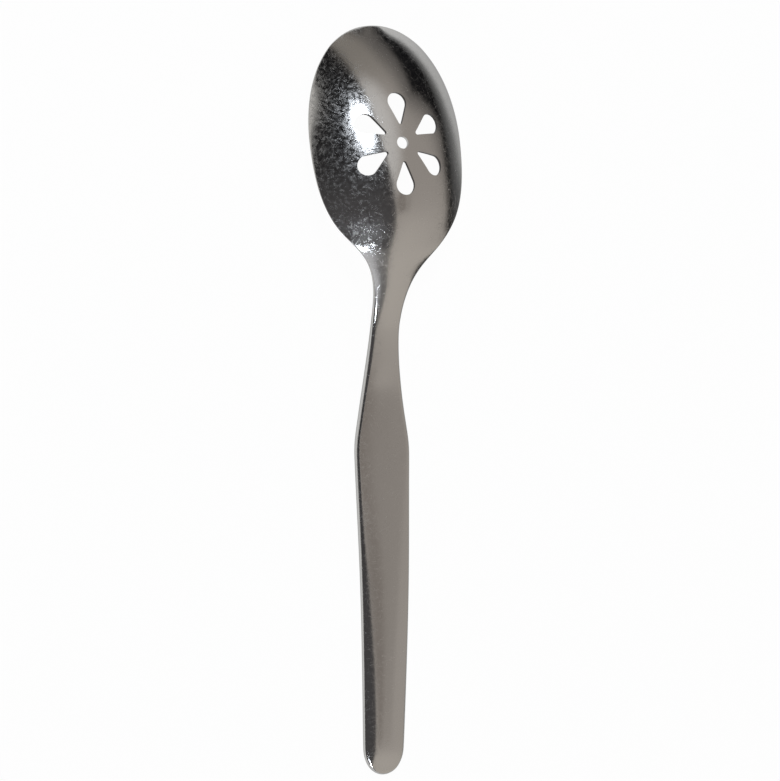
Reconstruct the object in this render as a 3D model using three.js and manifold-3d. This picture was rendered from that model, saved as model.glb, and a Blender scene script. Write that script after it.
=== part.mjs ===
// Ice spoon with a pierced flower, one pressed piece of stainless steel, lying on its face.
// Millimetres, +Z up from the table, the bowl's tip towards +Y, symmetric about X = 0.
// "Along" is the distance from the bowl's tip, and heights are above the table.

import * as THREE from 'three';
import { mergeVertices } from 'three/addons/utils/BufferGeometryUtils.js';
import Module from 'manifold-3d';

// Lengths of the outline's stretches, from the bowl's tip to the end of the handle
const noseLength = 28.4;
const tailLength = 43.3;
const flareLength = 28.9;
const sideLength = 72.9;
const endRoundLength = 6.5;

// Widths across the outline
const bowlWidth = 40.5;
const neckWidth = 7.3;
const shoulderWidth = 14.6;
const endWidth = 10.6;

// How the outline bends: the pull of each curve's handles, and the softness of the shoulder
const noseFullness = 0.58;
const tailPull = 30.4;
const neckPull = 23.7;
const neckHollow = 8;
const shoulderSoftness = 3;

// Heights of the edge's middle line, with the spoon on its bowl's tip and its handle's end
const rimSlope = 0.212;
const heelLength = 54.6;
const heelHeight = 12.0;
const heelRound = 5.5;
const neckHeight = 5.0;
const neckRise = 0.4;
const shoulderHeight = 2.45;
const archHeight = 2.85;

// The bowl's hollow, from its rim to the middle of the sheet, and its back's highest place
const bowlDepth = 9.0;
const deepestAt = 30;
const noseSteepness = 2.6;
const crownAt = 43;
const crownHeight = 17.1;

// Power of the curve across: over 2 the bottom is flatter than the sides, and under 2 it is ridged
const bowlFlatness = 2.4;
const heelFlatness = 1.6;

// How far the middle line stands over the edge line where the bowl runs out into the stem
const heelCrown = 2.3;
const stemCrown = 0.8;
const neckCrown = 0.2;

// Thickness at the edge, and what the middle has over it
const bowlEdge = 0.85;
const stemEdge = 2.0;
const endEdge = 1.8;
const stemSwell = 0.2;
const handleSwell = 0.8;
const endSwell = 1.1;
const swellFlatness = 2.5;

// How deep the table has worn the two places that it stands on
const restWear = 0.06;

// The flower, pierced square to the rim
const flowerAt = 28.6;
const petalCount = 6;
const petalInner = 4.6;
const petalOuter = 12.6;
const petalPointRadius = 0.5;
const petalRoundRadius = 2.45;
const eyeRadius = 1.5;

// Rows of facets on each stretch, columns across, and facets round the edge and the holes
const noseRows = 13;
const tailRows = 20;
const flareRows = 8;
const shoulderRows = 4;
const sideRows = 9;
const endRows = 7;
const columns = 20;
const edgeFacets = 5;
const holeFacets = 6;

// Distance within which corners are one, and the step over which slopes are measured
const weldDistance = 0.001;
const slopeStep = 0.02;

// Places that follow from the lengths
const neckAt = noseLength + tailLength;
const shoulderAt = neckAt + flareLength;
const endRoundAt = shoulderAt + sideLength;
const spoonLength = endRoundAt + endRoundLength;

// A smooth curve through points of [along, value], or [along, value, slope] where that is known
function curveThrough(points) {
  const slopes = points.map((point, i) => {
    const [x0, y0] = points[Math.max(i - 1, 0)];
    const [x1, y1] = points[Math.min(i + 1, points.length - 1)];
    return point[2] ?? (y1 - y0) / (x1 - x0);
  });
  return (along) => {
    const after = points.findIndex((point) => point[0] > along);
    const i = after < 1 ? (after < 0 ? points.length - 2 : 0) : after - 1;
    const [x0, y0] = points[i];
    const [x1, y1] = points[i + 1];
    const span = x1 - x0;
    const t = (along - x0) / span;
    const blend = t * t * (3 - 2 * t);
    const leaving = t * (1 - t) * (1 - t) * span * slopes[i];
    const arriving = t * t * (1 - t) * span * slopes[i + 1];
    return y0 * (1 - blend) + y1 * blend + leaving - arriving;
  };
}

// Half the outline, in the plane of along and half width, as curves that follow each other
function outlineCurves() {
  const point = (along, half) => new THREE.Vector2(along, half);
  const tip = point(0, 0);
  const widest = point(noseLength, bowlWidth / 2);
  const neck = point(neckAt, neckWidth / 2);
  const corner = point(shoulderAt, shoulderWidth / 2);
  const endRound = point(endRoundAt, endWidth / 2);

  const noseFront = point(0, noseFullness * widest.y);
  const noseSide = point(noseLength * (1 - noseFullness), widest.y);
  const nose = new THREE.CubicBezierCurve(tip, noseFront, noseSide, widest);

  const tailSide = point(noseLength + tailPull, widest.y);
  const tailEnd = point(neckAt - neckPull, neck.y);
  const tail = new THREE.CubicBezierCurve(widest, tailSide, tailEnd, neck);

  const hollow = point(neckAt + neckHollow, neck.y);
  const shoulderStart = corner.clone().sub(hollow).setLength(shoulderSoftness);
  shoulderStart.subVectors(corner, shoulderStart);
  const flare = new THREE.QuadraticBezierCurve(neck, hollow, shoulderStart);

  const shoulderEnd = endRound.clone().sub(corner).setLength(shoulderSoftness).add(corner);
  const shoulder = new THREE.QuadraticBezierCurve(shoulderStart, corner, shoulderEnd);

  const side = new THREE.LineCurve(shoulderEnd, endRound);
  const end = new THREE.EllipseCurve(
    endRoundAt, 0, endRoundLength, endRound.y, Math.PI / 2, 0, true);

  return [
    [nose, noseRows],
    [tail, tailRows],
    [flare, flareRows],
    [shoulder, shoulderRows],
    [side, sideRows],
    [end, endRows],
  ];
}

const edgeThickness = curveThrough([
  [0, bowlEdge],
  [deepestAt, bowlEdge],
  [heelLength, bowlEdge],
  [neckAt, stemEdge],
  [shoulderAt, stemEdge],
  [spoonLength, endEdge],
]);

// The middle's extra thickness, which the bowl doesn't have and which runs out at the end
const swell = curveThrough([
  [0, 0],
  [heelLength, 0],
  [neckAt, stemSwell],
  [shoulderAt, stemSwell],
  [(shoulderAt + endRoundAt) / 2, handleSwell],
  [endRoundAt, endSwell],
  [spoonLength - endEdge / 2, 0],
]);

// Height of the edge's middle line: a flat rim up to the heel, down to the neck, then the handle
const rimHeight = (along) => bowlEdge / 2 + rimSlope * (along - bowlEdge / 2);
const edgeHeight = curveThrough([
  [bowlEdge / 2, rimHeight(bowlEdge / 2)],
  [heelLength - heelRound, rimHeight(heelLength - heelRound)],
  [heelLength, heelHeight],
  [(heelLength + neckAt) / 2, (heelHeight + neckHeight) / 2],
  [neckAt, neckHeight],
  [(neckAt + shoulderAt) / 2, shoulderHeight + neckRise],
  [shoulderAt, shoulderHeight],
  [(shoulderAt + endRoundAt) / 2, archHeight],
  [spoonLength - endEdge / 2, endEdge / 2],
]);

// Height of the middle line behind the bowl's deepest place, over the crown and down the stem
const stemMeetsAt = (neckAt + shoulderAt) / 2;
const backHeight = curveThrough([
  [deepestAt, rimHeight(deepestAt) + bowlDepth, rimSlope],
  [crownAt, crownHeight, 0],
  [heelLength, heelHeight + heelCrown],
  [(heelLength + neckAt) / 2, (heelHeight + neckHeight) / 2 + stemCrown],
  [neckAt, neckHeight + neckCrown],
  [stemMeetsAt, edgeHeight(stemMeetsAt)],
]);

const dishFlatness = curveThrough([
  [0, bowlFlatness, 0],
  [heelLength, heelFlatness, 0],
  [stemMeetsAt, heelFlatness, 0],
]);

// How far the middle line stands over the edge line
function dish(along) {
  if (along < deepestAt) {
    const toGo = (deepestAt - along) / (deepestAt - bowlEdge / 2);
    return bowlDepth * (1 - toGo ** noseSteepness);
  }
  return along < stemMeetsAt ? Math.max(backHeight(along) - edgeHeight(along), 0) : 0;
}

// One row for each point of the outline, moved in by half the edge's thickness
function spoonRows() {
  const rows = [];
  for (const [curve, count] of outlineCurves()) {
    for (let k = rows.length ? 1 : 0; k <= count; k += 1) {
      const point = curve.getPoint(k / count);
      const tangent = curve.getTangent(k / count);
      const inset = edgeThickness(point.x) / 2;
      const along = point.x + inset * tangent.y;
      const half = Math.max(point.y - inset * tangent.x, 0);
      rows.push({ along, half, outwards: tangent });
    }
  }
  return rows;
}

const rows = spoonRows();
const halfSquared = curveThrough(rows.map((row) => [row.along, row.half ** 2]));

// How much of a curve across is left at x, all of it over the middle and none at the edge
function shareLeft(x, along, flatness) {
  const half = Math.sqrt(Math.max(halfSquared(along), weldDistance ** 2));
  return 1 - (Math.abs(x) / half) ** flatness;
}

// Height of the sheet's middle surface: the edge line, an arc over it and half of the swell
function middleHeight(x, along) {
  const arc = dish(along) * shareLeft(x, along, dishFlatness(along));
  const raised = swell(along) * shareLeft(x, along, swellFlatness) / 2;
  return edgeHeight(along) + arc + raised;
}

function middlePoint(x, along) {
  return new THREE.Vector3(x, spoonLength / 2 - along, middleHeight(x, along));
}

// Upward normal of the middle surface, measured over a small step inside the outline
function middleNormal(x, along) {
  const step = slopeStep;
  const first = rows[0].along + 2 * step;
  const last = rows[rows.length - 1].along - 2 * step;
  const place = Math.min(Math.max(along, first), last);
  const acrossSlope = (middleHeight(x + step, place) - middleHeight(x - step, place)) / (2 * step);
  const alongSlope = (middleHeight(x, place + step) - middleHeight(x, place - step)) / (2 * step);
  return new THREE.Vector3(-acrossSlope, alongSlope, 1).normalize();
}

// A point of the back (side 1) or of the face (side -1)
function skinPoint(row, across, side) {
  const x = row.half * across;
  const share = shareLeft(x, row.along, swellFlatness);
  const thickness = edgeThickness(row.along) + swell(row.along) * share;
  const offset = middleNormal(x, row.along).multiplyScalar(side * thickness / 2);
  return middlePoint(x, row.along).add(offset);
}

// The rounded edge of one row on one side, from the back round to the face
function edgePoints(row, side) {
  const centre = middlePoint(row.half * side, row.along);
  const normal = middleNormal(row.half * side, row.along);
  const outwards = new THREE.Vector3(side * row.outwards.x, row.outwards.y, 0);
  outwards.projectOnPlane(normal).normalize();
  const points = [];
  for (let k = 0; k <= edgeFacets; k += 1) {
    const angle = Math.PI * k / edgeFacets;
    const reach = edgeThickness(row.along) / 2;
    const point = centre.clone();
    point.addScaledVector(normal, reach * Math.cos(angle));
    point.addScaledVector(outwards, reach * Math.sin(angle));
    points.push(point);
  }
  return points;
}

// Two triangles for each cell between neighbouring lists of points, wound from first to next
function addStrip(positions, first, next) {
  for (let k = 0; k + 1 < first.length; k += 1) {
    const corners = [first[k], next[k], next[k + 1], first[k], next[k + 1], first[k + 1]];
    for (const corner of corners) {
      positions.push(corner.x, corner.y, corner.z);
    }
  }
}

// The whole blank before it is pierced: back, face and rounded edges
function blankGeometry() {
  const places = [];
  for (let k = 0; k <= columns; k += 1) {
    places.push(Math.sin((k / columns - 0.5) * Math.PI));
  }
  const positions = [];
  for (let i = 0; i + 1 < rows.length; i += 1) {
    const backs = [rows[i], rows[i + 1]].map((row) => places.map((u) => skinPoint(row, u, 1)));
    const faces = [rows[i], rows[i + 1]].map((row) => places.map((u) => skinPoint(row, u, -1)));
    addStrip(positions, backs[0], backs[1]);
    addStrip(positions, faces[1], faces[0]);
    addStrip(positions, edgePoints(rows[i], 1), edgePoints(rows[i + 1], 1));
    addStrip(positions, edgePoints(rows[i + 1], -1), edgePoints(rows[i], -1));
  }
  const geometry = new THREE.BufferGeometry();
  geometry.setAttribute('position', new THREE.Float32BufferAttribute(positions, 3));
  return withoutSlivers(mergeVertices(geometry, weldDistance));
}

// Drops the triangles that closed up when their corners merged
function withoutSlivers(geometry) {
  const index = geometry.index.array;
  const kept = [];
  for (let k = 0; k < index.length; k += 3) {
    const [a, b, c] = index.slice(k, k + 3);
    if (a !== b && b !== c && c !== a) {
      kept.push(a, b, c);
    }
  }
  geometry.setIndex(kept);
  return geometry;
}

// A teardrop whose point faces the flower's eye
function petalShape() {
  const pointAt = petalInner + petalPointRadius;
  const roundAt = petalOuter - petalRoundRadius;
  const lean = Math.asin((petalRoundRadius - petalPointRadius) / (roundAt - pointAt));
  const shape = new THREE.Shape();
  shape.absarc(0, roundAt, petalRoundRadius, -lean, Math.PI + lean, false);
  shape.absarc(0, pointAt, petalPointRadius, Math.PI + lean, 2 * Math.PI - lean, false);
  shape.closePath();
  return shape;
}

function eyeShape() {
  const shape = new THREE.Shape();
  shape.absarc(0, 0, eyeRadius, 0, 2 * Math.PI, false);
  return shape;
}

// The punches, which reach through the bowl from its face to above its back
function punchGeometries() {
  const reach = 2 * bowlDepth;
  const centre = middlePoint(0, flowerAt);
  const shapes = [eyeShape()];
  const turns = [0];
  for (let k = 0; k < petalCount; k += 1) {
    shapes.push(petalShape());
    turns.push(2 * Math.PI * k / petalCount);
  }
  return shapes.map((shape, k) => {
    const settings = { depth: reach, bevelEnabled: false, curveSegments: holeFacets };
    const punch = new THREE.ExtrudeGeometry(shape, settings);
    punch.translate(0, 0, -reach / 2);
    punch.rotateZ(turns[k]);
    punch.rotateX(-Math.atan(rimSlope));
    punch.translate(centre.x, centre.y, centre.z);
    return punch;
  });
}

const wasm = await Module();
wasm.setup();

function toSolid(geometry) {
  const bare = geometry.clone();
  bare.deleteAttribute('normal');
  bare.deleteAttribute('uv');
  const merged = mergeVertices(bare, weldDistance);
  return new wasm.Manifold(new wasm.Mesh({
    numProp: 3,
    vertProperties: merged.attributes.position.array,
    triVerts: new Uint32Array(merged.index.array),
  }));
}

function toGeometry(solid) {
  const mesh = solid.getMesh();
  const geometry = new THREE.BufferGeometry();
  geometry.setAttribute('position', new THREE.BufferAttribute(mesh.vertProperties, 3));
  geometry.setIndex(new THREE.BufferAttribute(mesh.triVerts, 1));
  geometry.computeVertexNormals();
  return geometry;
}

// A block that takes away what the table has worn off under the tip and the end
function wornGeometry(blank) {
  blank.computeBoundingBox();
  const block = new THREE.BoxGeometry(2 * bowlWidth, 2 * spoonLength, bowlDepth);
  block.translate(0, 0, blank.boundingBox.min.z + restWear - bowlDepth / 2);
  return block;
}

// The pierced spoon, centred over the origin and standing on the table
function spoonGeometry() {
  const blank = blankGeometry();
  let solid = toSolid(blank).subtract(toSolid(wornGeometry(blank)));
  for (const punch of punchGeometries()) {
    solid = solid.subtract(toSolid(punch));
  }
  const geometry = toGeometry(solid);
  geometry.computeBoundingBox();
  const box = geometry.boundingBox;
  geometry.translate(-(box.min.x + box.max.x) / 2, -(box.min.y + box.max.y) / 2, -box.min.z);
  return geometry;
}

const polishedSteel = new THREE.MeshStandardMaterial({
  color: 0xb5b1ac,
  metalness: 1,
  roughness: 0.22,
});

const spoon = new THREE.Mesh(spoonGeometry(), polishedSteel);
spoon.name = 'spoon';

const iceSpoon = new THREE.Group();
iceSpoon.add(spoon);

export default iceSpoon;
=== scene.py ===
import math

import bmesh
import bpy
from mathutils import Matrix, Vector


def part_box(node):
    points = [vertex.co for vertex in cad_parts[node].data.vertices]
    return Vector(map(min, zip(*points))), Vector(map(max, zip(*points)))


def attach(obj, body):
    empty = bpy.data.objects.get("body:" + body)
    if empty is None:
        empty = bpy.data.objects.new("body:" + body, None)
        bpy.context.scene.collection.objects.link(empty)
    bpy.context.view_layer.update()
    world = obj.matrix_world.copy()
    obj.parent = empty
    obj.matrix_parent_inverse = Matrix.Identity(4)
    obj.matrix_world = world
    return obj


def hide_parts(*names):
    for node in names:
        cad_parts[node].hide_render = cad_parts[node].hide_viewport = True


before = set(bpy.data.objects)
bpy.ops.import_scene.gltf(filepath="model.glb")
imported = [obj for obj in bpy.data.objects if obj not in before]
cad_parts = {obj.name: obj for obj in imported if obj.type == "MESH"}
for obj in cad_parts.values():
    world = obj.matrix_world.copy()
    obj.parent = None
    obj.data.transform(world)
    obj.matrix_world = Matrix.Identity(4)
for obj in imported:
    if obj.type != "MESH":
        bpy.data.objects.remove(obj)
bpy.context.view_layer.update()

bpy.ops.object.select_all(action="DESELECT")

# Driving values in millimetres, "along" measured from the bowl's tip to the handle's end
MM = 0.001
NOSE_LENGTH = 28.4
TAIL_LENGTH = 43.3
FLARE_LENGTH = 28.9
SIDE_LENGTH = 72.9
END_ROUND_LENGTH = 6.5

BOWL_WIDTH = 40.5
NECK_WIDTH = 7.3
SHOULDER_WIDTH = 14.6
END_WIDTH = 10.6

# How the outline bends
NOSE_FULLNESS = 0.58
TAIL_PULL = 30.4
NECK_PULL = 23.7
NECK_HOLLOW = 8
SHOULDER_SOFTNESS = 3

# Heights of the edge's middle line, with the spoon lying on its face
RIM_SLOPE = 0.212
HEEL_LENGTH = 54.6
HEEL_HEIGHT = 12.0
HEEL_ROUND = 5.5
NECK_HEIGHT = 5.0
NECK_RISE = 0.4
SHOULDER_HEIGHT = 2.45
ARCH_HEIGHT = 2.85

# The bowl's hollow and its back's highest place
BOWL_DEPTH = 9.0
DEEPEST_AT = 30
NOSE_STEEPNESS = 2.6
CROWN_AT = 43
CROWN_HEIGHT = 17.1
BOWL_FLATNESS = 2.4
HEEL_FLATNESS = 1.6

# The middle line over the edge line, where the bowl runs out into the stem
HEEL_CROWN = 2.3
STEM_CROWN = 0.8
NECK_CROWN = 0.2

# Thickness at the edge, and what the middle has over it
BOWL_EDGE = 0.85
STEM_EDGE = 2.0
END_EDGE = 1.8
STEM_SWELL = 0.2
HANDLE_SWELL = 0.8
END_SWELL = 1.1
SWELL_FLATNESS = 2.5

# The flower, pierced square to the rim, and the corners of the punches' circles
FLOWER_AT = 28.6
PETALS = 6
PETAL_INNER = 4.6
PETAL_OUTER = 12.6
PETAL_POINT_RADIUS = 0.5
PETAL_ROUND_RADIUS = 2.45
EYE_RADIUS = 1.5
EYE_CORNERS = 48
POINT_CORNERS = 32
ROUND_CORNERS = 64
# The petals' walls are found this near to the petals, and lean this little along the punch
FLOWER_MARGIN = 1
WALL_LEAN = 0.05

NECK_AT = NOSE_LENGTH + TAIL_LENGTH
SHOULDER_AT = NECK_AT + FLARE_LENGTH
END_ROUND_AT = SHOULDER_AT + SIDE_LENGTH
LENGTH = END_ROUND_AT + END_ROUND_LENGTH
STEM_MEETS_AT = (NECK_AT + SHOULDER_AT) / 2

# The sheet's mesh: quads from the middle to the rim, and rows on each stretch of the outline
COLUMNS = 8
NOSE_ROWS = 9
TAIL_ROWS = 16
FLARE_ROWS = 9
SHOULDER_ROWS = 4
SIDE_ROWS = 16
END_ROWS = 4

# Steps on each curve of the outline, the least half width squared to divide by, the grid's size
# before it is shaped, and how near the two halves are merged
OUTLINE_STEPS = 24
LEAST_HALF_SQUARED = 0.01
BLANK_SIZE = 200
MERGE_DISTANCE = 0.01

# How far round the bowl's tip and the handle's end the bowed rows reach, from 0 to 1 on their
# curves, how far inside the tip's outline the first row is measured and how far it is moved in,
# and the outer quads' share of the stem's half width
NOSE_CORNER = 0.4
END_CORNER = 0.55
TIP_INSET = 0.1
TIP_TUCK = 0.06
STEM_MARGIN = 0.24

# The rim's rounding as a share of the thickness, and how finely it and the rest are rounded
RIM_ROUNDING = 0.38
RIM_SEGMENTS = 3
RIM_ANGLE = math.radians(50)
SMOOTH_LEVELS = 2
SMOOTH_ANGLE = math.radians(35)


def curve_through(points):
    """A smooth curve through points of (along, value).

    A third number in a point is the slope there, and without it the slope follows the neighbours.
    """
    slopes = []
    for i, point in enumerate(points):
        before = points[max(i - 1, 0)]
        after = points[min(i + 1, len(points) - 1)]
        between = (after[1] - before[1]) / (after[0] - before[0])
        slopes.append(point[2] if len(point) > 2 else between)

    def value(along):
        i = 0
        while i < len(points) - 2 and points[i + 1][0] <= along:
            i += 1
        x0, y0 = points[i][:2]
        x1, y1 = points[i + 1][:2]
        t = (along - x0) / (x1 - x0)
        blend = t * t * (3 - 2 * t)
        leaving = t * (1 - t) ** 2 * (x1 - x0) * slopes[i]
        arriving = t * t * (1 - t) * (x1 - x0) * slopes[i + 1]
        return y0 * (1 - blend) + y1 * blend + leaving - arriving

    return value


def bezier(*points):
    """The curve that a row of control points pulls, as a function from 0 to 1."""
    def place(t):
        row = [Vector(point) for point in points]
        while len(row) > 1:
            row = [a.lerp(b, t) for a, b in zip(row, row[1:])]
        return row[0]

    return place


def end_round(t):
    """The handle's rounded end, from its side to the middle."""
    angle = t * math.pi / 2
    ahead = END_ROUND_LENGTH * math.sin(angle)
    return Vector((END_ROUND_AT + ahead, END_WIDTH / 2 * math.cos(angle)))


widest = Vector((NOSE_LENGTH, BOWL_WIDTH / 2))
neck = Vector((NECK_AT, NECK_WIDTH / 2))
hollow = Vector((NECK_AT + NECK_HOLLOW, NECK_WIDTH / 2))
corner = Vector((SHOULDER_AT, SHOULDER_WIDTH / 2))
side_end = Vector((END_ROUND_AT, END_WIDTH / 2))
flare_end = corner - (corner - hollow).normalized() * SHOULDER_SOFTNESS
side_start = corner + (side_end - corner).normalized() * SHOULDER_SOFTNESS

nose = bezier(
    (0, 0),
    (0, NOSE_FULLNESS * widest.y),
    (NOSE_LENGTH * (1 - NOSE_FULLNESS), widest.y),
    widest,
)
tail = bezier(
    widest,
    (NOSE_LENGTH + TAIL_PULL, widest.y),
    (NECK_AT - NECK_PULL, neck.y),
    neck,
)
flare = bezier(neck, hollow, flare_end)
shoulder = bezier(flare_end, corner, side_start)
side = bezier(side_start, side_end)

edge_thickness = curve_through([
    (0, BOWL_EDGE),
    (DEEPEST_AT, BOWL_EDGE),
    (HEEL_LENGTH, BOWL_EDGE),
    (NECK_AT, STEM_EDGE),
    (SHOULDER_AT, STEM_EDGE),
    (LENGTH, END_EDGE),
])
swell = curve_through([
    (0, 0),
    (HEEL_LENGTH, 0),
    (NECK_AT, STEM_SWELL),
    (SHOULDER_AT, STEM_SWELL),
    ((SHOULDER_AT + END_ROUND_AT) / 2, HANDLE_SWELL),
    (END_ROUND_AT, END_SWELL),
    (LENGTH - END_EDGE / 2, 0),
])


def rim_height(along):
    """Height of the bowl's rim, which is flat and rests on its tip."""
    return BOWL_EDGE / 2 + RIM_SLOPE * (along - BOWL_EDGE / 2)


edge_height = curve_through([
    (BOWL_EDGE / 2, rim_height(BOWL_EDGE / 2)),
    (HEEL_LENGTH - HEEL_ROUND, rim_height(HEEL_LENGTH - HEEL_ROUND)),
    (HEEL_LENGTH, HEEL_HEIGHT),
    ((HEEL_LENGTH + NECK_AT) / 2, (HEEL_HEIGHT + NECK_HEIGHT) / 2),
    (NECK_AT, NECK_HEIGHT),
    (STEM_MEETS_AT, SHOULDER_HEIGHT + NECK_RISE),
    (SHOULDER_AT, SHOULDER_HEIGHT),
    ((SHOULDER_AT + END_ROUND_AT) / 2, ARCH_HEIGHT),
    (LENGTH - END_EDGE / 2, END_EDGE / 2),
])
back_height = curve_through([
    (DEEPEST_AT, rim_height(DEEPEST_AT) + BOWL_DEPTH, RIM_SLOPE),
    (CROWN_AT, CROWN_HEIGHT, 0),
    (HEEL_LENGTH, HEEL_HEIGHT + HEEL_CROWN),
    ((HEEL_LENGTH + NECK_AT) / 2, (HEEL_HEIGHT + NECK_HEIGHT) / 2 + STEM_CROWN),
    (NECK_AT, NECK_HEIGHT + NECK_CROWN),
    (STEM_MEETS_AT, edge_height(STEM_MEETS_AT)),
])
dish_flatness = curve_through([
    (0, BOWL_FLATNESS, 0),
    (HEEL_LENGTH, HEEL_FLATNESS, 0),
    (STEM_MEETS_AT, HEEL_FLATNESS, 0),
])


def dish(along):
    """How far the middle line stands over the edge line."""
    if along < DEEPEST_AT:
        to_go = (DEEPEST_AT - along) / (DEEPEST_AT - BOWL_EDGE / 2)
        return max(BOWL_DEPTH * (1 - to_go ** NOSE_STEEPNESS), 0)
    if along < STEM_MEETS_AT:
        return max(back_height(along) - edge_height(along), 0)
    return 0


def outline_point(curve, t, inset):
    """A point of the outline, moved in square to it."""
    step = 0.001
    here = curve(t)
    tangent = (curve(min(t + step, 1)) - curve(max(t - step, 0))).normalized()
    return here - Vector((-tangent.y, tangent.x)) * inset


def rim_line():
    """The middle line of the rounded edge, as points of (along, half width squared).

    Each curve starts where the one before it ends, and that point is taken once.
    """
    points = []
    for curve in (nose, tail, flare, shoulder, side, end_round):
        for k in range(1 if points else 0, OUTLINE_STEPS + 1):
            t = k / OUTLINE_STEPS
            point = outline_point(curve, t, edge_thickness(curve(t).x) / 2)
            points.append((point.x, max(point.y, 0) ** 2))
    return points


half_squared = curve_through(rim_line())


def share_left(x, along, flatness, outwards=0):
    """How much of a curve across is left at x, all of it over the middle and none at the edge."""
    half = math.sqrt(max(half_squared(along), LEAST_HALF_SQUARED)) + outwards
    return 1 - (abs(x) / half) ** flatness


def swelling(x, along):
    """The swell at x, which runs out at the outline."""
    share = share_left(x, along, SWELL_FLATNESS, edge_thickness(along) / 2)
    return swell(along) * max(share, 0)


def height(x, along):
    """Height of the sheet's middle: the edge line, the dish's arc over it and half of the swell."""
    arc = dish(along) * share_left(x, along, dish_flatness(along))
    return edge_height(along) + arc + swelling(x, along) / 2


def thickness(x, along):
    """Thickness of the sheet: the edge's, and the swell."""
    return edge_thickness(along) + swelling(x, along)


def tuck(point):
    """How far inside the outline a tilted rim's middle line ends, so that its edge meets it."""
    steepness = dish_flatness(point.x) * dish(point.x) / point.y
    return edge_thickness(point.x) / 2 * (1 - math.cos(math.atan(steepness)))


def sheet_rows():
    """Rows of (x, along) from the middle to the rim, bowed at both ends to follow the outline."""
    tip = [outline_point(nose, NOSE_CORNER * k / COLUMNS, TIP_INSET) for k in range(COLUMNS + 1)]
    bowl_shares = [point.y / tip[-1].y for point in tip]
    stem_shares = [(1 - STEM_MARGIN) * k / (COLUMNS - 1) for k in range(COLUMNS)] + [1]
    tip_bow = [tip[-1].x - point.x for point in tip]

    end_corner = end_round(END_CORNER)
    end_bow = []
    for share in stem_shares:
        out = share * end_corner.y / (END_WIDTH / 2)
        end_bow.append(END_ROUND_AT + END_ROUND_LENGTH * math.sqrt(1 - out ** 2) - end_corner.x)

    stretches = (
        (tail, TAIL_ROWS),
        (flare, FLARE_ROWS),
        (shoulder, SHOULDER_ROWS),
        (side, SIDE_ROWS),
    )
    places = [(nose, NOSE_CORNER + (1 - NOSE_CORNER) * k / NOSE_ROWS) for k in range(NOSE_ROWS)]
    for curve, count in stretches:
        places += [(curve, k / count) for k in range(count)]
    places += [(end_round, END_CORNER * k / END_ROWS) for k in range(END_ROWS + 1)]

    rows = []
    for curve, t in places:
        edge = outline_point(curve, t, tuck(curve(t)))
        tip_share = max((NOSE_LENGTH - edge.x) / (NOSE_LENGTH - tip[-1].x), 0) ** 2
        end_share = max((edge.x - END_ROUND_AT) / (end_corner.x - END_ROUND_AT), 0) ** 2
        stem = min(max((edge.x - DEEPEST_AT) / (NECK_AT - DEEPEST_AT), 0), 1)
        rows.append([
            ((1 - stem) * bowl * edge.y + stem * straight * edge.y,
             edge.x + tip_share * (TIP_TUCK - ahead) + end_share * behind)
            for bowl, straight, ahead, behind in zip(bowl_shares, stem_shares, tip_bow, end_bow)
        ])
    return rows


def move_vertex(mesh, index, target):
    """Moves one vertex to its place in edit mode, and leaves it unselected."""
    edit = bmesh.from_edit_mesh(mesh)
    edit.verts.ensure_lookup_table()
    vertex = edit.verts[index]
    vertex.select_set(True)
    bpy.ops.transform.translate(value=target - vertex.co)
    edit = bmesh.from_edit_mesh(mesh)
    edit.verts.ensure_lookup_table()
    edit.verts[index].select_set(False)


def apply_modifier(piece, kind, **settings):
    """Adds a modifier with its settings and applies it."""
    bpy.context.view_layer.objects.active = piece
    modifier = piece.modifiers.new(kind.title(), kind)
    for name, value in settings.items():
        setattr(modifier, name, value)
    bpy.ops.object.modifier_apply(modifier=modifier.name)


def pressed_sheet():
    """The spoon's sheet, shaped row by row from a grid on one side and mirrored."""
    rows = sheet_rows()
    bpy.ops.mesh.primitive_grid_add(
        x_subdivisions=COLUMNS, y_subdivisions=len(rows) - 1, size=BLANK_SIZE * MM)
    sheet = bpy.context.object
    sheet.name = "spoon_shell"
    wall = sheet.vertex_groups.new(name="wall")
    most = STEM_EDGE + END_SWELL
    bpy.ops.object.mode_set(mode="EDIT")
    bpy.ops.mesh.select_all(action="DESELECT")
    for j, row in enumerate(rows):
        for k, (x, along) in enumerate(row):
            target = Vector((x, LENGTH / 2 - along, height(x, along))) * MM
            move_vertex(sheet.data, j * (COLUMNS + 1) + k, target)
    bpy.ops.mesh.select_all(action="SELECT")
    bpy.ops.mesh.normals_make_consistent(inside=False)
    bpy.ops.object.mode_set(mode="OBJECT")
    for j, row in enumerate(rows):
        for k, (x, along) in enumerate(row):
            wall.add([j * (COLUMNS + 1) + k], thickness(x, along) / most, "REPLACE")
    apply_modifier(sheet, "MIRROR", merge_threshold=MERGE_DISTANCE * MM)
    apply_modifier(
        sheet, "SOLIDIFY", thickness=most * MM, offset=0, vertex_group="wall",
        use_even_offset=True)
    return sheet


def round_rim(piece):
    """Bevels the rim's two edges by a share of the thickness, then subdivides the sheet."""
    bpy.ops.object.mode_set(mode="EDIT")
    bpy.ops.mesh.select_mode(type="EDGE")
    bpy.ops.mesh.select_all(action="DESELECT")
    bpy.ops.mesh.edges_select_sharp(sharpness=RIM_ANGLE)
    bpy.ops.object.mode_set(mode="OBJECT")
    weight = piece.data.attributes.new("bevel_weight_edge", "FLOAT", "EDGE")
    for edge in piece.data.edges:
        if edge.select:
            middle = sum((piece.data.vertices[v].co.y for v in edge.vertices)) / 2
            weight.data[edge.index].value = edge_thickness(LENGTH / 2 - middle / MM) / STEM_EDGE
    apply_modifier(
        piece, "BEVEL", limit_method="WEIGHT", width=RIM_ROUNDING * STEM_EDGE * MM,
        segments=RIM_SEGMENTS, use_clamp_overlap=False)
    apply_modifier(piece, "SUBSURF", levels=SMOOTH_LEVELS, render_levels=SMOOTH_LEVELS)


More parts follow.
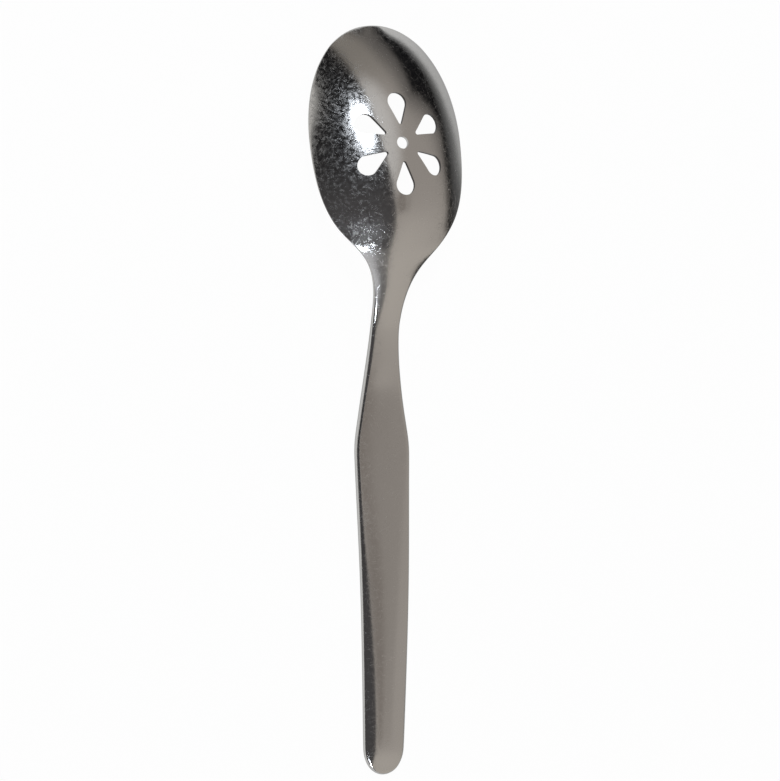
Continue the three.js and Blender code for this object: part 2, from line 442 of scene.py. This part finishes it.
def add_prism(radius, corners, reach, place):
    """A round punch, upright at its place."""
    bpy.ops.mesh.primitive_cylinder_add(
        vertices=corners, radius=radius * MM, depth=reach * MM, location=Vector(place) * MM)


def punches():
    """The seven punches of the flower, joined, square to the rim and through the bowl's back."""
    reach = 2 * BOWL_DEPTH
    tools = []
    add_prism(EYE_RADIUS, EYE_CORNERS, reach, (0, 0, 0))
    tools.append(bpy.context.object)
    round_place = (0, PETAL_OUTER - PETAL_ROUND_RADIUS, 0)
    point_place = (0, PETAL_INNER + PETAL_POINT_RADIUS, 0)
    for k in range(PETALS):
        add_prism(PETAL_ROUND_RADIUS, ROUND_CORNERS, reach, round_place)
        petal = bpy.context.object
        bpy.ops.object.transform_apply(location=True)
        bpy.ops.object.mode_set(mode="EDIT")
        add_prism(PETAL_POINT_RADIUS, POINT_CORNERS, reach, point_place)
        bpy.ops.mesh.select_all(action="SELECT")
        bpy.ops.mesh.convex_hull()
        bpy.ops.object.mode_set(mode="OBJECT")
        petal.rotation_euler.z = 2 * math.pi * k / PETALS
        bpy.ops.object.transform_apply(rotation=True)
        tools.append(petal)
    for tool in tools:
        tool.select_set(True)
    bpy.context.view_layer.objects.active = tools[0]
    bpy.ops.object.join()
    punch = bpy.context.object
    punch.rotation_euler.x = -math.atan(RIM_SLOPE)
    punch.location = Vector((0, LENGTH / 2 - FLOWER_AT, height(0, FLOWER_AT))) * MM
    bpy.ops.object.transform_apply(location=True, rotation=True)
    bpy.ops.object.select_all(action="DESELECT")
    return punch


def pierced_spoon():
    """The whole spoon, pierced, on the table and in the middle of the solid's length."""
    spoon = pressed_sheet()
    round_rim(spoon)
    punch = punches()
    apply_modifier(spoon, "BOOLEAN", operation="DIFFERENCE", solver="EXACT", object=punch)
    bpy.data.objects.remove(punch)
    low = Vector(map(min, zip(*(vertex.co for vertex in spoon.data.vertices))))
    high = Vector(map(max, zip(*(vertex.co for vertex in spoon.data.vertices))))
    cad_low, cad_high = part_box("spoon")
    spoon.location = (0, (cad_low.y + cad_high.y - low.y - high.y) / 2, cad_low.z - low.z)
    bpy.ops.object.select_all(action="DESELECT")
    spoon.select_set(True)
    bpy.context.view_layer.objects.active = spoon
    bpy.ops.object.transform_apply(location=True)
    bpy.ops.object.shade_smooth_by_angle(angle=SMOOTH_ANGLE)
    return spoon


def linear(hex_colour):
    """An sRGB hex colour as linear red, green, blue and full alpha."""
    shares = [int(hex_colour[i:i + 2], 16) / 255 for i in (1, 3, 5)]
    return [c / 12.92 if c <= 0.04045 else ((c + 0.055) / 1.055) ** 2.4 for c in shares] + [1]


def add_node(tree, kind, links=None, values=None, **settings):
    """Adds a node with its settings, the values of its inputs and the links into them."""
    node = tree.nodes.new(kind)
    for name, setting in settings.items():
        setattr(node, name, setting)
    for socket, value in (values or {}).items():
        node.inputs[socket].default_value = value
    for socket, source in (links or {}).items():
        tree.links.new(source, node.inputs[socket])
    return node


# Scratches from washing and stacking: the way they run, in degrees from +X, their length and their
# spacing. Real ones are some 0.03 mm wide, so these are drawn about three times as wide to show.
SCRATCHES = (
    (24, 3.2, 0.42),
    (62, 2.2, 0.36),
    (101, 2.6, 0.40),
    (139, 3.6, 0.45),
    (172, 2.0, 0.34),
)
# How fast they change with height, their half width in the noise, and where they break off
SCRATCH_HEIGHT = 4
SCRATCH_BREADTH = 0.035
GAP_SCALE = 0.8
GONE_BELOW = 0.52
WHOLE_ABOVE = 0.67
# Their arcs: the size of the bends and how far a bend moves them
BEND_SIZE = 9
BEND_REACH = 5

# Rubbed patches, a few tenths of a millimetre to some millimetres across
RUB_SIZE = 0.9
RUB_DETAIL = 4
RUB_RAGGEDNESS = 0.7
CLEAN_BELOW = 0.4
RUBBED_ABOVE = 0.66

# Roughness of the polish, of rubbed patches left of LEFT_OF and right of RIGHT_OF, in millimetres
# from the middle, and what a scratch adds
POLISH_ROUGHNESS = 0.1
LEFT_ROUGHNESS = 0.3
RIGHT_ROUGHNESS = 0.17
LEFT_OF = -11
RIGHT_OF = -3
SCRATCH_ROUGHNESS = 0.14

# The polisher's faint waves, and the depth of each relief
WAVE_SIZE = 7
WAVE_DEPTH = 0.03
RUB_DEPTH = 0.005
SCRATCH_DEPTH = 0.003


def polished_steel():
    """Stainless steel, blanked, pressed and mirror polished, dulled by washing and stacking.

    The polish mirrors the room, short curved scratches glitter round each lamp, and rubbed patches
    between them haze the mirror.
    """
    material = bpy.data.materials.new("polished_stainless_steel")
    material.use_nodes = True
    tree = material.node_tree
    shader = tree.nodes["Principled BSDF"]
    shader.inputs["Base Color"].default_value = linear("#C3C2C0")
    shader.inputs["Metallic"].default_value = 1
    shader.inputs["Specular Tint"].default_value = linear("#BCBCBC")
    place = add_node(tree, "ShaderNodeTexCoord").outputs["Object"]

    # Bends the scratches into arcs
    bend = add_node(
        tree, "ShaderNodeTexNoise", links={"Vector": place},
        values={"Scale": 1 / (BEND_SIZE * MM), "Detail": 1})
    centred = add_node(
        tree, "ShaderNodeVectorMath", operation="SUBTRACT",
        links={0: bend.outputs["Color"]}, values={1: (0.5, 0.5, 0.5)})
    bent = add_node(
        tree, "ShaderNodeVectorMath", operation="MULTIPLY_ADD",
        links={0: centred.outputs[0], 2: place}, values={1: [BEND_REACH * MM] * 3})

    # A scratch lies where its stretched noise crosses the middle, and the gaps break it off
    scratched = None
    for way, length, spacing in SCRATCHES:
        turned = add_node(
            tree, "ShaderNodeMapping", vector_type="TEXTURE", links={"Vector": bent.outputs[0]},
            values={
                "Rotation": (0, 0, math.radians(way)),
                "Scale": (length * MM, spacing * MM, SCRATCH_HEIGHT * MM),
            })
        grain = add_node(
            tree, "ShaderNodeTexNoise", links={"Vector": turned.outputs[0]},
            values={"Scale": 1, "Detail": 1})
        off = add_node(
            tree, "ShaderNodeMath", operation="SUBTRACT",
            links={0: grain.outputs[0]}, values={1: 0.5})
        off = add_node(tree, "ShaderNodeMath", operation="ABSOLUTE", links={0: off.outputs[0]})
        line = add_node(
            tree, "ShaderNodeMapRange", interpolation_type="SMOOTHSTEP",
            links={"Value": off.outputs[0]},
            values={"From Min": 0, "From Max": SCRATCH_BREADTH, "To Min": 1, "To Max": 0})
        gaps = add_node(
            tree, "ShaderNodeTexNoise", links={"Vector": turned.outputs[0]},
            values={"Scale": GAP_SCALE})
        kept = add_node(
            tree, "ShaderNodeMapRange", interpolation_type="SMOOTHSTEP",
            links={"Value": gaps.outputs[0]},
            values={"From Min": GONE_BELOW, "From Max": WHOLE_ABOVE})
        line = add_node(
            tree, "ShaderNodeMath", operation="MULTIPLY",
            links={0: line.outputs[0], 1: kept.outputs[0]})
        if scratched is None:
            scratched = line
        else:
            scratched = add_node(
                tree, "ShaderNodeMath", operation="MAXIMUM",
                links={0: scratched.outputs[0], 1: line.outputs[0]})

    # The bowl's left side is rubbed more than its right one and the handle
    rubbed = add_node(
        tree, "ShaderNodeTexNoise", links={"Vector": bent.outputs[0]},
        values={
            "Scale": 1 / (RUB_SIZE * MM),
            "Detail": RUB_DETAIL,
            "Roughness": RUB_RAGGEDNESS,
        })
    across = add_node(tree, "ShaderNodeSeparateXYZ", links={"Vector": place})
    most = add_node(
        tree, "ShaderNodeMapRange", interpolation_type="SMOOTHSTEP",
        links={"Value": across.outputs["X"]},
        values={
            "From Min": LEFT_OF * MM,
            "From Max": RIGHT_OF * MM,
            "To Min": LEFT_ROUGHNESS,
            "To Max": RIGHT_ROUGHNESS,
        })
    haze = add_node(
        tree, "ShaderNodeMapRange",
        links={"Value": rubbed.outputs[0], "To Max": most.outputs["Result"]},
        values={
            "From Min": CLEAN_BELOW,
            "From Max": RUBBED_ABOVE,
            "To Min": POLISH_ROUGHNESS,
        })
    dull = add_node(
        tree, "ShaderNodeMath", operation="MULTIPLY_ADD",
        links={0: scratched.outputs[0], 2: haze.outputs[0]}, values={1: SCRATCH_ROUGHNESS})
    tree.links.new(dull.outputs[0], shader.inputs["Roughness"])

    # The waves, then the rubbed patches, then the scratches
    waves = add_node(
        tree, "ShaderNodeTexNoise", links={"Vector": place},
        values={"Scale": 1 / (WAVE_SIZE * MM), "Detail": 1})
    normal = None
    for relief, depth in ((waves, WAVE_DEPTH), (rubbed, RUB_DEPTH), (scratched, SCRATCH_DEPTH)):
        bump = add_node(
            tree, "ShaderNodeBump", links={"Height": relief.outputs[0]},
            values={"Strength": 1, "Distance": depth * MM})
        if normal is not None:
            tree.links.new(normal, bump.inputs["Normal"])
        normal = bump.outputs[0]
    tree.links.new(normal, shader.inputs["Normal"])
    return material


def shaded_sheared_steel():
    """The petals' walls, left matt as the punch sheared them; their dark grey is painted shade in
    the holes.
    """
    material = bpy.data.materials.new("sheared_steel_painted_shade")
    material.use_nodes = True
    shader = material.node_tree.nodes["Principled BSDF"]
    # Painted shade: the walls are darkened for the shade that falls inside the holes
    shader.inputs["Base Color"].default_value = linear("#3A3734")
    shader.inputs["Metallic"].default_value = 1
    shader.inputs["Roughness"].default_value = 0.45
    return material


def face_holes(spoon):
    """Gives the petals' walls the second material, by their place and the way they face."""
    tilt = math.atan(RIM_SLOPE)
    punch_way = Vector((0, math.sin(tilt), math.cos(tilt)))
    middle = Vector((0, LENGTH / 2 - FLOWER_AT, height(0, FLOWER_AT))) * MM
    for face in spoon.data.polygons:
        out = (face.center - middle).cross(punch_way).length / MM
        near = PETAL_INNER - FLOWER_MARGIN < out < PETAL_OUTER + FLOWER_MARGIN
        if near and abs(face.normal.dot(punch_way)) < WALL_LEAN:
            face.material_index = 1


# The table's size in metres, its strength to the camera, and a pool of light painted into its glow
# round the spoon, which only the metal sees: an oval in millimetres, and the table's strength in
# the metal from its middle to its edge
TABLE_SIZE = 200
TABLE_STRENGTH = 0.965
PAINTED_POOL_WIDTH = 260
PAINTED_POOL_LENGTH = 600
PAINTED_POOL_STRENGTHS = (
    (0, 0.88),
    (0.32, 0.88),
    (0.5, 0.27),
    (1, 0.09),
)


def floor_material():
    """A matt pale table that shows white to the eye and in the metal, and keeps the spoon's shadow.

    A pool of light is painted into its glow round the spoon, where only the metal sees it, so the
    metal shows the table darker towards the horizon.
    """
    material = bpy.data.materials.new("matt_pale_table")
    material.use_nodes = True
    tree = material.node_tree
    output = tree.nodes["Material Output"]
    tree.nodes.remove(tree.nodes["Principled BSDF"])
    ray = add_node(tree, "ShaderNodeLightPath")
    place = add_node(tree, "ShaderNodeTexCoord")
    oval = add_node(
        tree, "ShaderNodeMapping", links={"Vector": place.outputs["Object"]},
        values={"Scale": (1 / (PAINTED_POOL_WIDTH * MM / 2), 1 / (PAINTED_POOL_LENGTH * MM / 2), 0)})
    out = add_node(
        tree, "ShaderNodeVectorMath", operation="LENGTH", links={0: oval.outputs["Vector"]})
    # The painted pool of light: the table's glow in the metal fades with the distance from the
    # spoon
    pool = add_node(tree, "ShaderNodeFloatCurve", links={"Value": out.outputs["Value"]})
    curve = pool.mapping.curves[0]
    middle, *between, edge = PAINTED_POOL_STRENGTHS
    curve.points[0].location = middle
    curve.points[1].location = edge
    for point in between:
        curve.points.new(*point)
    pool.mapping.update()
    mirrored = add_node(
        tree, "ShaderNodeMath", operation="ADD",
        links={0: ray.outputs["Is Glossy Ray"], 1: ray.outputs["Is Transmission Ray"]})
    dimmed = add_node(
        tree, "ShaderNodeMath", operation="MULTIPLY",
        links={0: mirrored.outputs[0], 1: pool.outputs[0]})
    shown = add_node(
        tree, "ShaderNodeMath", operation="ADD", use_clamp=True,
        links={0: ray.outputs["Is Camera Ray"], 1: dimmed.outputs[0]})
    strength = add_node(
        tree, "ShaderNodeMath", operation="MULTIPLY",
        links={0: shown.outputs[0]}, values={1: TABLE_STRENGTH})
    matt = add_node(tree, "ShaderNodeBsdfDiffuse", values={"Color": linear("#363636")})
    glow = add_node(tree, "ShaderNodeEmission", links={"Strength": strength.outputs[0]})
    table = add_node(
        tree, "ShaderNodeAddShader", links={0: matt.outputs[0], 1: glow.outputs[0]})
    tree.links.new(table.outputs[0], output.inputs["Surface"])
    return material


# The room that the steel mirrors. Each zone is painted over the ones before it: its colour, then
# the axes that it lies towards, each with the leans at which it starts and is full. A lean is the
# cosine of the angle between a direction and the axis.
ROOM_COLOUR = "#B5AEA8"
DARK_SIDE = ((-1, -0.14, 0.23), 0.1, 0.19)
ROOM_ZONES = (
    # Paler past the handle's end, and duller past the bowl's tip
    ("#D2CBC3", ((0.3, -1, 0.1), 0.1, 0.9)),
    ("#9C968F", ((-0.2, 1, -0.2), 0.35, 0.85)),
    # Overhead, where the handle's back and the bowl's look: two dull spots and a bright one
    ("#ACA59F", ((0.46, 0.03, 0.88), 0.97, 0.995)),
    ("#978F89", ((0.28, -0.04, 0.96), 0.982, 0.997)),
    ("#E6E3E0", ((0, 0.5, 0.87), 0.86, 0.99)),
    # The dark left side, darker towards the tip, with a bright spot low down
    ("#525051", DARK_SIDE),
    ("#222122", DARK_SIDE, ((0, 1, 0), -0.1, 0.35)),
    ("#E2E0DD", ((-1, 0.44, 0), 0.865, 0.89)),
    # Its end towards the handle, grey and then bright
    ("#7F7D7C", DARK_SIDE, ((0, -1, 0), 0.53, 0.7)),
    ("#E4E4E8", ((-1, 0, 0), 0.01, 0.1), ((0, -1, 0), 0.6, 0.85)),
    # The dark corner on the right past the tip, with its soft edge
    ("#777370", ((0.33, -0.2, -0.43), -0.45, -0.2), ((-0.1, 0.35, -0.37), -0.3, -0.05)),
    ("#18181A", ((0.33, -0.2, -0.43), -0.2, -0.06), ((-0.1, 0.35, -0.37), -0.08, -0.01)),
    # Low down on the right
    ("#101012", ((1, 0, 0), 0, 0.3), ((0, 0, -1), -0.1, 0)),
)


def studio_world():
    """A grey room with a dark side on the left and a dark corner on the right."""
    world = bpy.data.worlds.new("studio")
    bpy.context.scene.world = world
    world.use_nodes = True
    tree = world.node_tree
    background = tree.nodes["Background"]
    background.inputs["Strength"].default_value = 1
    direction = add_node(tree, "ShaderNodeTexCoord").outputs["Generated"]
    room = add_node(tree, "ShaderNodeRGB").outputs[0]
    room.default_value = linear(ROOM_COLOUR)
    for colour, *axes in ROOM_ZONES:
        zone = None
        for axis, start, full in axes:
            lean = add_node(
                tree, "ShaderNodeVectorMath", operation="DOT_PRODUCT",
                links={0: direction}, values={1: Vector(axis).normalized()})
            side = add_node(
                tree, "ShaderNodeMapRange", interpolation_type="SMOOTHSTEP",
                links={"Value": lean.outputs["Value"]},
                values={"From Min": start, "From Max": full})
            if zone is None:
                zone = side
            else:
                zone = add_node(
                    tree, "ShaderNodeMath", operation="MULTIPLY",
                    links={0: zone.outputs[0], 1: side.outputs[0]})
        painted = add_node(
            tree, "ShaderNodeMix", data_type="RGBA",
            links={0: zone.outputs[0], 6: room}, values={7: linear(colour)})
        room = painted.outputs[2]
    tree.links.new(room, background.inputs["Color"])


# The lamps' distance from the bowl in metres, and their colour
LAMP_DISTANCE = 1.2
LAMP_COLOUR = "#EEF5FF"


def towards(tilt, bearing):
    """A direction by its tilt from overhead and its bearing from +X, both in degrees."""
    tilt, bearing = math.radians(tilt), math.radians(bearing)
    out = math.sin(tilt)
    return Vector((out * math.cos(bearing), out * math.sin(bearing), math.cos(tilt)))


def add_lamp(kind, name, tilt, bearing, **settings):
    """A cool lamp with its settings, which faces the bowl's back."""
    aim = Vector((0, LENGTH / 2 - FLOWER_AT, BOWL_DEPTH)) * MM
    back = towards(tilt, bearing)
    bpy.ops.object.light_add(type=kind, location=aim + back * LAMP_DISTANCE)
    lamp = bpy.context.object
    lamp.name = name
    lamp.rotation_euler = back.to_track_quat("Z", "Y").to_euler()
    lamp.data.color = linear(LAMP_COLOUR)[:3]
    for setting, value in settings.items():
        setattr(lamp.data, setting, value)


# The camera of the photograph, 27 degrees off the vertical towards the spoon's left. Its distance
# is in metres and its sensor in millimetres.
VIEW_TILT = math.radians(27)
VIEW_ROLL = math.radians(-0.729)
PHOTO_WIDTH, PHOTO_HEIGHT = 780, 781
PIXELS_PER_MM = 4.160
MIDDLE_PIXEL = Vector((376.41, 399.98))
CAMERA_DISTANCE = 2.45
SENSOR = 36


def add_camera():
    """A long lens on the photograph's line of sight, framed as the photograph is."""
    back = Vector((-math.sin(VIEW_TILT), 0, math.cos(VIEW_TILT)))
    level = Vector((math.cos(VIEW_TILT), 0, math.sin(VIEW_TILT)))
    right = level * math.cos(VIEW_ROLL) + Vector((0, math.sin(VIEW_ROLL), 0))
    up = back.cross(right)
    off_x = (PHOTO_WIDTH / 2 - MIDDLE_PIXEL.x) / PIXELS_PER_MM
    off_y = (MIDDLE_PIXEL.y - PHOTO_HEIGHT / 2) / PIXELS_PER_MM
    aim = (right * off_x + up * off_y) * MM
    bpy.ops.object.camera_add(location=aim + back * CAMERA_DISTANCE)
    camera = bpy.context.object
    turn = camera.matrix_world.to_3x3()
    turn.col[0], turn.col[1], turn.col[2] = right, up, back
    camera.rotation_euler = turn.to_euler()
    camera.data.sensor_width = SENSOR
    camera.data.lens = SENSOR * CAMERA_DISTANCE / (PHOTO_HEIGHT / PIXELS_PER_MM * MM)
    camera.data.clip_end = TABLE_SIZE
    bpy.context.scene.camera = camera


spoon = pierced_spoon()
spoon.data.materials.append(polished_steel())
spoon.data.materials.append(shaded_sheared_steel())
face_holes(spoon)
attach(spoon, "root")
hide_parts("spoon")

bpy.ops.mesh.primitive_plane_add(size=TABLE_SIZE, location=(0, 0, 0))
floor = bpy.context.object
floor.name = "table"
floor.data.materials.append(floor_material())

studio_world()
add_lamp("AREA", "key_lamp", 33, 119, energy=3.8, shape="DISK", size=0.36)
# The low lamp has a hood, so that its light ends before the handle
add_lamp(
    "SPOT", "low_lamp", 43, 245, energy=95, shadow_soft_size=0.23,
    spot_size=math.radians(8), spot_blend=0.2)
add_camera()
bpy.context.scene.view_settings.view_transform = "Standard"
